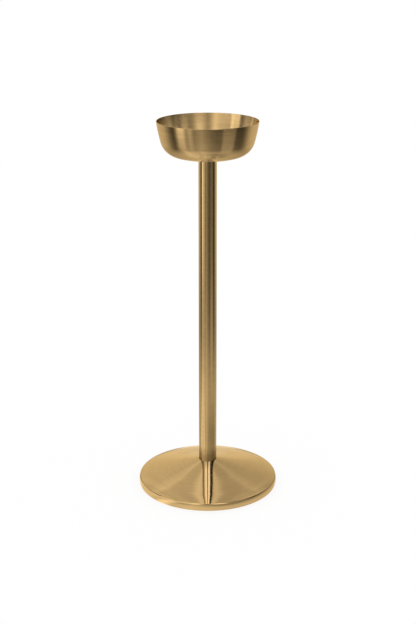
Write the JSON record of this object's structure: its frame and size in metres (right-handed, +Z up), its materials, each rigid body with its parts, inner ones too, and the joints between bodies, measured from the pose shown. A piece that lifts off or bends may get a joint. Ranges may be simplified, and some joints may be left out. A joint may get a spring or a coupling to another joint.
{
  "type": "champagne bucket stand",
  "caption": "Brass floor stand that holds a champagne bucket: a spun bowl on a tubular stem over a weighted round foot with a low conical top.",
  "frame": {"origin": "centre of the foot, on the floor", "axes": "+Z up the stem; +X and +Y are alike, because the stand is a figure of revolution"},
  "size_m": [0.226, 0.226, 0.6],
  "materials": {
    "brushed_brass": "fine brushed, lacquered",
    "polished_brass": "polished",
    "plated_steel": "zinc plated",
    "cast_iron": "rough casting, black primer",
    "rubber": "matte"
  },
  "bodies": {
    "root": {"floor_ring": "rubber", "foot_weight": "cast_iron", "foot_cover": "brushed_brass", "foot_bolt": "plated_steel", "foot_washer": "plated_steel", "foot_lock_washer": "plated_steel", "bottom_plug": "plated_steel", "stem_tube": "brushed_brass", "top_plug": "plated_steel", "bowl": "brushed_brass", "bowl_seal": "rubber", "bowl_washer": "polished_brass", "bowl_lock_washer": "polished_brass", "bowl_screw": "polished_brass"}
  },
  "joints": []
}
